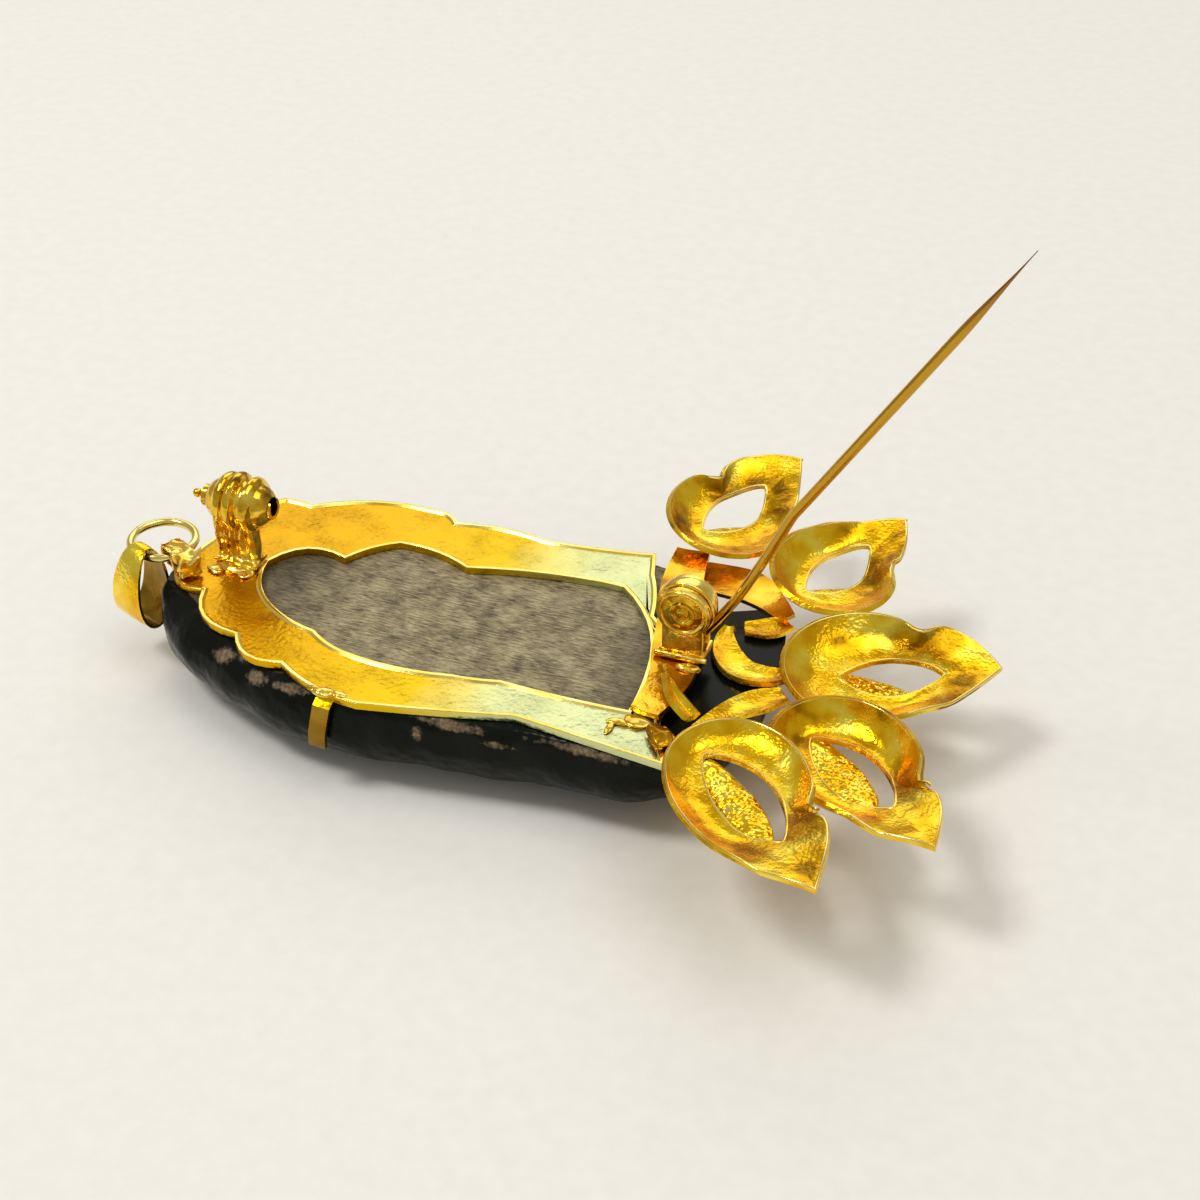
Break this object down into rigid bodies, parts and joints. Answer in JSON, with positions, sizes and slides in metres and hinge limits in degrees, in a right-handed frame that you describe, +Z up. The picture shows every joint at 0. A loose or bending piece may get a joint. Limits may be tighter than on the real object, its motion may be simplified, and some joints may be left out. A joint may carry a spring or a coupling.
{
  "type": "carved jade brooch",
  "caption": "Carved dark jade brooch, also a pendant: windowed gold back frame, pierced gold leaves at one end, hinged pin, turning catch lock, and a bail on a jump ring.",
  "frame": {"origin": "middle of the bounding box's bottom, on the surface that the brooch lies on", "axes": "+X along the brooch towards its leaves, +Y across it towards the far edge, +Z up out of its gold back"},
  "size_m": [0.0668, 0.0476, 0.0437],
  "materials": {
    "jade": "polished",
    "gold": "polished"
  },
  "bodies": {
    "brooch": {"jade_stone": "jade", "back_plate": "gold", "tip_tab": "gold", "jump_ring": "gold", "bail": "gold", "catch_body": "gold", "hinge_knuckle": "gold", "hinge_rivet": "gold", "bridge_strip": "gold", "stem_upper": "gold", "stem_hook": "gold", "stem_lower": "gold", "tendril_horn": "gold", "tendril_foot": "gold", "leaf_a": "gold", "leaf_b": "gold", "leaf_c": "gold", "leaf_d": "gold", "leaf_e": "gold", "leaf_heart_a": "gold", "leaf_heart_b": "gold", "leaf_heart_c": "gold", "leaf_heart_d": "gold", "leaf_heart_e": "gold"},
    "pin": {"pin_stem": "gold"},
    "lock": {"catch_lock": "gold"}
  },
  "joints": [
    {"name": "pin_hinge", "type": "hinge", "parent": "brooch", "child": "pin", "pos_m": [0.0118, -0.00141, 0.0124], "axis": [0, -1, 0], "range_deg": [-7, 123]},
    {"name": "catch_turn", "type": "hinge", "parent": "brooch", "child": "lock", "pos_m": [-0.0238, -0.00141, 0.013], "axis": [1, 0, 0], "range_deg": [0, 120]}
  ]
}
